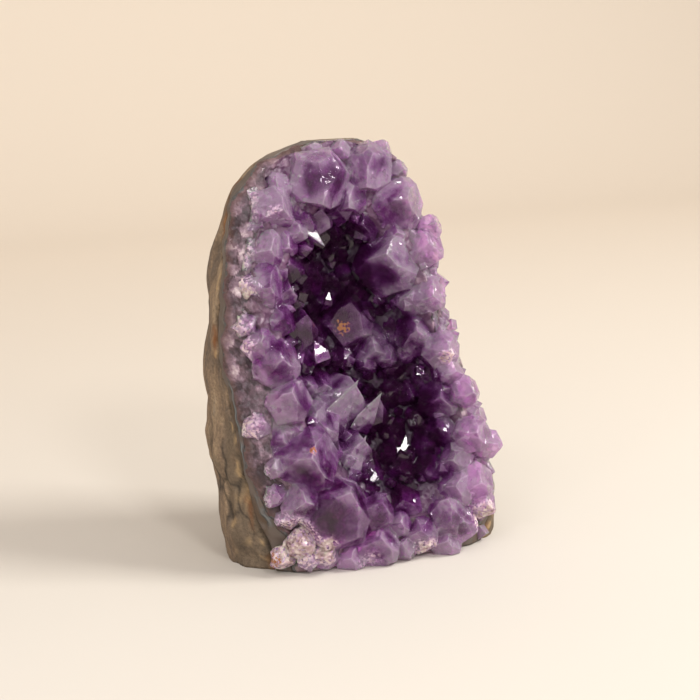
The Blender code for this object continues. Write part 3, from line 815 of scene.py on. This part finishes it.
def tone_at(points):
    """Tone of the amethyst at each point, from 0 for deep to 1 for pale, with painted light and shade in
    it: it falls in the hollow, where the deep violet is partly painted shade; it rises at both sides,
    and most on the right, which is painted light from that side; it rises at the foot, and with the
    height over the growth face, which paints shade at the crystals' feet; and the tone spots change
    it."""
    x, y, z = points.T
    across = share_across(x, z)
    above = growth_face(x, z) - y
    # Painted shade in the hollow, and painted light on the right rim, where the light comes from.
    tone = 0.36 - 0.32 * hollow(x, z) + 0.3 * np.abs(across)**3 + 0.4 * np.clip(across, 0, 1)**5
    # Painted shade at the crystals' feet: the tone rises with the height over the growth face.
    tone = tone + 0.04 * np.clip(above - 1.5, 0, 9) + 0.4 * np.exp(-(z / 7)**2)
    for *place, radius, change in TONE_SPOTS:
        away = np.linalg.norm(points - place, axis=1) / radius
        tone = tone + change * np.exp(-away**2)
    return np.clip(tone, 0.0, 1.0)


def spots_at(points, spots):
    """How near each point is to the middle of one of the spots: 1 in the middle, 0 far off."""
    near = np.zeros(len(points))
    for *place, radius in spots:
        near = np.maximum(near, np.exp(-(np.linalg.norm(points - place, axis=1) / radius)**2))
    return near


# ---- the pieces ---------------------------------------------------------------------------------
def weathering(rock, relief):
    """Depth of the rock's surface under its outline and its marks, at each point. Plates tilt their
    own way, with flakes and rounded lumps on them. Large flat facets (slab) take their place near
    the edge at the foot, with ridges between that carry a painted highlight. A seam gapes along the
    edge, with rust and a pale lip beside it, and cracks run between the plates and down into the
    lumps; painted shade darkens the cracks, the seam and the low places between the lumps."""
    x, y, z = rock.x, rock.y, rock.z
    shake = 1.6 * grain(x, y, z, 5.0, seed=2, octaves=2)
    plates, number, split = chips(x + shake, y, z * 0.6 + shake, PLATE_WIDTH, seed=33)
    flakes, _, _ = chips(x, y + shake, z * 0.7, FLAKE_WIDTH, seed=5)
    facets, _, ridge = chips(x, y + 0.5 * shake, z * 0.6 + shake, FACET_WIDTH, seed=52)
    lumps = grain(x, y, z * 0.75, LUMP_WIDTH, seed=3, octaves=4)
    broken = split * np.clip(1.6 * grain(x, y, z, 14.0, seed=7) + 0.5 - 0.012 * z, 0, 1)

    edge = rock.edge + 1.2 * grain(x, y, z, 3.0, seed=14, octaves=3)
    gape = 0.7 + 0.9 * np.clip(grain(x, y, z, 11.0, seed=19, octaves=2) + 0.3, 0, 1)
    open_here = np.clip(0.9 + 0.8 * grain(x, y, z, 9.0, seed=8), 0, 1)
    seam = np.exp(-(np.clip(edge, 0, None) / gape)**2) * open_here
    low = np.clip((46 - z) / 6 + 2 * grain(x, y, z, 9, seed=11), 0, 0.85)
    slab = np.clip(15 - 0.22 * z - edge, 0, 1) * low

    depth = relief * (0.8 * (0.5 - plates) + 0.3 * (0.5 - flakes) + 0.35 * (1 - lumps))
    depth = depth * (1 - 0.6 * slab) + 2.2 * slab * (0.6 - facets)
    depth = np.clip(soften(depth + 0.5 * broken) + 1.5 * seam, 0, None)

    # Painted shade: near-black in the cracks, the seam and the low places between the lumps.
    cavity = np.clip(0.8 * broken + 0.9 * seam + 0.6 * np.clip(-lumps - 0.3, 0, 1), 0, 1)
    stained = np.clip(2 * grain(x, y, z, 8.0, seed=9, octaves=2), 0, 1)
    rust = np.exp(-((edge - 1.5) / 1.5)**2) * stained
    lip = np.exp(-((edge - 2.4) / 0.7)**2) * np.clip(3 * grain(x, y, z, 4.0, seed=10) - 0.5, 0, 0.7)
    worn = np.clip(2 * grain(x, y, z, 4.0, seed=23) + 0.3, 0, 1)
    # Painted highlight along the ridges between the slab's flat facets, in patches.
    lip = np.maximum(lip, 0.7 * ridge * slab * worn)
    return depth, {"cavity": cavity, "rust": rust, "plate": number - 0.5, "lip": lip, "slab": slab}


class AMETHYST_OT_basalt(bpy.types.Operator):
    """Rough basalt behind the inner face"""
    bl_idname = "amethyst.basalt"
    bl_label = "Basalt"

    def execute(self, context):
        rock = Layer(heights(220), inner_face, None, side_points=390, front_points=36)
        depth, marks = weathering(rock, context.scene.stone_sizes.rock_relief / MM)
        rock.push(-depth)
        obj = rock.make("basalt_rock", **{name: mark * rock.outer for name, mark in marks.items()})
        obj.data.shade_smooth()
        finish(obj, basalt_material(context.scene.stone_colours), "basalt", "basalt_rind")
        return {'FINISHED'}


class AMETHYST_OT_agate(bpy.types.Operator):
    """Thin agate band between the rock and the quartz"""
    bl_idname = "amethyst.agate"
    bl_label = "Agate band"

    def execute(self, context):
        def far(x, z):
            return inner_face(x, z) - GAP
        band = Layer(heights(300, GAP), agate_face, far, side_points=12, front_points=30, back_points=30)
        band.push(-0.35 - 0.35 * grain(band.x, band.y, band.z, 4.0, seed=12, octaves=3))
        obj = band.make("agate_line", share=band.share, low=np.clip((85 - band.z) / 40, 0.2, 1))
        obj.data.shade_smooth()
        finish(obj, agate_material(context.scene.stone_colours), "agate", "agate_band")
        return {'FINISHED'}


class AMETHYST_OT_quartz(bpy.types.Operator):
    """Milky quartz from which the crystals grow"""
    bl_idname = "amethyst.quartz"
    bl_label = "Milky quartz"

    def execute(self, context):
        def near(x, z):
            return growth_face(x, z) - 0.3

        def far(x, z):
            return agate_face(x, z) - GAP
        base = Layer(heights(230, GAP), near, far, side_points=100, front_points=130, back_points=12)
        x, y, z = base.x, base.y, base.z
        stained = spots_at(base.points(), RUST_SPOTS).reshape(x.shape)
        dark = spots_at(base.points(), DARK_SPOTS).reshape(x.shape)
        rind = np.abs(far(x, z) - y)
        coarse, number, _ = chips(x, y * 0.7, z, QUARTZ_GRAIN_WIDTH, seed=41)
        knobs, _, _ = chips(x, y, z, QUARTZ_KNOB_WIDTH, seed=17)
        fine = grain(x, y, z, QUARTZ_CRUMB_WIDTH, seed=5, octaves=2)
        loose = np.clip(rind / 8, 0.25, 1)
        rim = np.clip((np.abs(share_across(x, z)) - 0.62) / 0.2, 0, 1)
        relief = context.scene.stone_sizes.grain_relief / MM
        base.push(relief * loose * np.clip(0.8 * coarse + 0.3 * fine - 0.6, -2, 0),
                  relief * (coarse + 0.4 * fine) + rim * np.clip(1.6 + 3.4 * knobs, 0, 4))
        foot = np.exp(-(base.z / 11)**2) * np.exp(-((base.x + 28) / 14)**2)
        # Painted shade: dark down in the hollow.
        marks = {"tone": np.clip(1.15 - 2.4 * hollow(base.x, base.z), 0, 1), "rust": stained,
                 "front": (1 - base.outer) * (1 - 0.7 * rim), "rind": rind,
                 "grainy": np.clip(1.3 * foot + 1.4 * (number - 0.5) - dark, -1.4, 1)}
        obj = base.make("milky_quartz_base", **marks)
        obj.data.shade_smooth()
        finish(obj, quartz_material(context.scene.stone_colours), "amethyst")
        return {'FINISHED'}


def mark_crystals(mesh):
    """Stores the crystals' marks, how grainy and stained they are and the tones of their points and
    facets, and shakes the points of those that are worn."""
    points = mesh_points(mesh)
    x, y, z = points.T
    leftwards = -share_across(x, z)
    grainy, edge = spots_at(points, GRAINY_SPOTS), 0.34 * np.clip((leftwards - 0.76) / 0.12, 0, 1)
    put_attribute(mesh, "tone", tone_at(points))
    put_attribute(mesh, "rust", spots_at(points, RUST_SPOTS))
    put_attribute(mesh, "grainy", np.maximum(grainy, edge))
    tones = facet_tones(mesh)
    worn = WORN_SHAKE * np.maximum(np.clip((leftwards - 0.68) / 0.15, 0, 1), 0.8 * grainy)
    shake = [grain(x, y, z, WORN_SHAKE_WIDTH, seed, octaves=2) for seed in (61, 62, 63)]
    points = points + worn[:, None] * np.stack(shake, -1)
    points[:, 2] = np.maximum(points[:, 2], GAP)
    mesh.vertices.foreach_set("co", (points * MM).astype('f').ravel())
    put_attribute(mesh, "facet", tones, 'FACE')


class AMETHYST_OT_crystals(bpy.types.Operator):
    """Amethyst crystals, grown together in one crust"""
    bl_idname = "amethyst.crystals"
    bl_label = "Crystals"

    def execute(self, context):
        crystals = crust_object()

        def near(x, z):
            return growth_face(x, z) + 1.2

        def far(x, z):
            return inner_face(x, z) + 3.0
        inside = Layer(np.linspace(-3.0, TOP - 0.2, 60), near, far, side_points=24, front_points=50,
                       back_points=8)
        inside.push(0.7)
        combine(crystals, inside.make("crust_inside"), 'DIFFERENCE')
        set_small_crystals(crystals, context.scene.stone_sizes.satellites)
        for corners in (*TALL_POINTS, *(bright_point(*values) for values in BRIGHT_POINTS)):
            point = closed_object("tall_point", tall_point(*corners), TALL_POINT_FACES)
            combine(crystals, point, 'UNION')
        split_long_edges(crystals.data, LONGEST_EDGE)
        mark_crystals(crystals.data)
        crystals.data.materials.clear()
        mat = amethyst_material(context.scene.stone_colours, context.scene.stone_sizes.edge_wear)
        finish(crystals, mat, "amethyst", "amethyst_crust")
        return {'FINISHED'}


# ---- stage --------------------------------------------------------------------------------------
# Size of the paper in metres: half its width, where it starts in front, how far behind its bend
# starts, the bend's radius and how high the paper goes.
PAPER_HALF_WIDTH = 6.0
PAPER_FRONT = -6.0
PAPER_BEND_START = 0.55
PAPER_BEND_RADIUS = 0.35
PAPER_TOP = 2.2
# Square lights that point at a place in the piece, in metres: name, place, size, power as a share of
# the key light's, and tint.
LIGHT_TARGET = (0, 0, 0.05)
LIGHTS = (
    ("key", (0.62, -0.35, 0.72), 0.32, 1.0, (1.0, 0.98, 0.94)),
    ("front", (0.0, -0.83, 0.66), 0.17, 0.32, (1.0, 0.98, 0.96)),
    ("left", (-0.79, -0.55, 0.30), 0.13, 0.12, (1.0, 0.98, 0.96)),
    ("right", (0.35, -0.95, 0.28), 0.11, 0.07, (1.0, 0.98, 0.96)),
    ("top", (-0.52, -0.33, 0.85), 0.13, 0.09, (1.0, 0.98, 0.96)),
    ("fill", (-0.45, -0.62, 0.64), 0.30, 0.16, (1.0, 0.99, 1.0)),
)
ROOM_COLOUR = '#fff7f2'
ROOM_LIGHT = 0.74
# The camera's lens and sensor, and how far it stands left of the base's centre and above it, across
# its line of sight, all in millimetres.
LENS = 90.0
SENSOR = 36.0
CAMERA_LEFT = 4.37
CAMERA_UP = 56.56


class StageSettings(bpy.types.PropertyGroup):
    """Camera and light."""
    turn: FloatProperty(name="Camera turn", description="Camera's turn round the piece",
                        default=radians(-25.0), subtype='ANGLE')
    rise: FloatProperty(name="Camera rise", description="Camera's height above the horizon",
                        default=radians(13.0), subtype='ANGLE')
    distance: length("Camera distance", 510.2, "From the camera to the plane through the base's centre")
    floor: colour("Floor", "#c9c3ba", "Pale paper under the piece")
    backdrop: colour("Backdrop", "#dacebe", "Paper where it curves up behind")
    light: FloatProperty(name="Light", description="Power of the key light", default=8.8, unit='POWER')


def paper_sweep(settings):
    """Floor that curves up into a backdrop by a quarter circle: a profile carried across its width."""
    along = np.linspace(-PAPER_HALF_WIDTH, PAPER_HALF_WIDTH, 60)
    bend = np.linspace(0, pi / 2, 24)
    depth = np.concatenate([[PAPER_FRONT, -0.5, 0.3], PAPER_BEND_START + PAPER_BEND_RADIUS * np.sin(bend),
                            [PAPER_BEND_START + PAPER_BEND_RADIUS]])
    rise = np.concatenate([[0, 0, 0], PAPER_BEND_RADIUS * (1 - np.cos(bend)), [PAPER_TOP]])
    x, y = np.meshgrid(along, depth)
    z = np.repeat(rise[:, None], len(along), axis=1)
    index = np.arange(x.size).reshape(x.shape)
    quads = np.stack([index[:-1, :-1], index[:-1, 1:], index[1:, 1:], index[1:, :-1]], -1).reshape(-1, 4)
    mesh = bpy.data.meshes.new("paper_sweep")
    mesh.from_pydata(np.stack([x, y, z], -1).reshape(-1, 3).tolist(), [], quads.tolist())
    mesh.shade_smooth()
    mesh.materials.append(paper_material(settings))
    new_object("paper_sweep", mesh)


def paper_material(settings):
    """Uncoated paper, rolled smooth: matt, and paler where it curves up behind."""
    mat, add, place, _ = new_material("matt_paper")
    depth = add('SeparateXYZ', {'Vector': place}, 'Y')
    behind = add('MapRange', {'Value': depth, 'From Min': 0.0, 'From Max': 0.5})
    paper = painted(add, settings.floor, (behind, settings.backdrop))
    shader = add('BsdfPrincipled', {'Base Color': paper, 'Roughness': 0.9})
    add('OutputMaterial', {'Surface': shader})
    return mat


def area_light(name, place, size, power, tint):
    """Soft square light that points at the piece."""
    data = bpy.data.lights.new(name, 'AREA')
    data.size = size
    data.energy = power
    data.color = tint
    obj = new_object(name, data)
    obj.location = place
    obj.rotation_euler = (Vector(LIGHT_TARGET) - Vector(place)).to_track_quat('-Z', 'Y').to_euler()


def soft_room():
    """World that gives even light from all sides."""
    world = bpy.data.worlds.new("soft_room")
    world.use_nodes = True
    background = world.node_tree.nodes['Background']
    background.inputs['Color'].default_value = linear(ROOM_COLOUR)
    background.inputs['Strength'].default_value = ROOM_LIGHT
    return world


def camera_at(turn, rise, distance):
    """Camera that looks level across its turn and down by its rise."""
    towards = Vector((sin(turn) * cos(rise), -cos(turn) * cos(rise), sin(rise)))
    right = Vector((cos(turn), sin(turn), 0.0))
    up = towards.cross(right)
    data = bpy.data.cameras.new("camera")
    data.lens = LENS
    data.sensor_width = SENSOR
    camera = new_object("camera", data)
    place = towards * distance - right * CAMERA_LEFT * MM + up * CAMERA_UP * MM
    camera.matrix_world = Matrix.Translation(place) @ Matrix((right, up, towards)).transposed().to_4x4()
    return camera


class AMETHYST_OT_stage(bpy.types.Operator):
    """Paper floor and backdrop, soft light and camera"""
    bl_idname = "amethyst.stage"
    bl_label = "Stage"

    def execute(self, context):
        settings = context.scene.stage_settings
        paper_sweep(settings)
        for name, place, size, share, tint in LIGHTS:
            area_light(name, place, size, settings.light * share, tint)
        context.scene.world = soft_room()
        context.scene.view_settings.view_transform = 'Standard'
        context.scene.camera = camera_at(settings.turn, settings.rise, settings.distance)
        return {'FINISHED'}


# ---- panel and registration ---------------------------------------------------------------------
PIECES = (AMETHYST_OT_basalt, AMETHYST_OT_agate, AMETHYST_OT_quartz, AMETHYST_OT_crystals,
          AMETHYST_OT_stage)


class AMETHYST_PT_panel(bpy.types.Panel):
    """Sizes, colours and the pieces in their order"""
    bl_idname = "AMETHYST_PT_panel"
    bl_label = "Amethyst Cluster"
    bl_space_type = 'VIEW_3D'
    bl_region_type = 'UI'
    bl_category = "Amethyst"

    def draw(self, context):
        scene = context.scene
        for group in (scene.stone_sizes, scene.stone_colours, scene.stage_settings):
            for name in group.__annotations__:
                self.layout.prop(group, name)
        for piece in PIECES:
            self.layout.operator(piece.bl_idname)


CLASSES = (StoneColours, StoneSizes, StageSettings, *PIECES, AMETHYST_PT_panel)


def register():
    """Registers the classes and their settings."""
    for cls in CLASSES:
        bpy.utils.register_class(cls)
    bpy.types.Scene.stone_colours = PointerProperty(type=StoneColours)
    bpy.types.Scene.stone_sizes = PointerProperty(type=StoneSizes)
    bpy.types.Scene.stage_settings = PointerProperty(type=StageSettings)


def unregister():
    """Takes the classes and their settings out again."""
    del bpy.types.Scene.stage_settings
    del bpy.types.Scene.stone_sizes
    del bpy.types.Scene.stone_colours
    for cls in reversed(CLASSES):
        bpy.utils.unregister_class(cls)


def main():
    """Makes the pieces and the stage."""
    register()
    for piece in PIECES:
        group, name = piece.bl_idname.split(".")
        getattr(getattr(bpy.ops, group), name)()


if __name__ == "__main__":
    main()
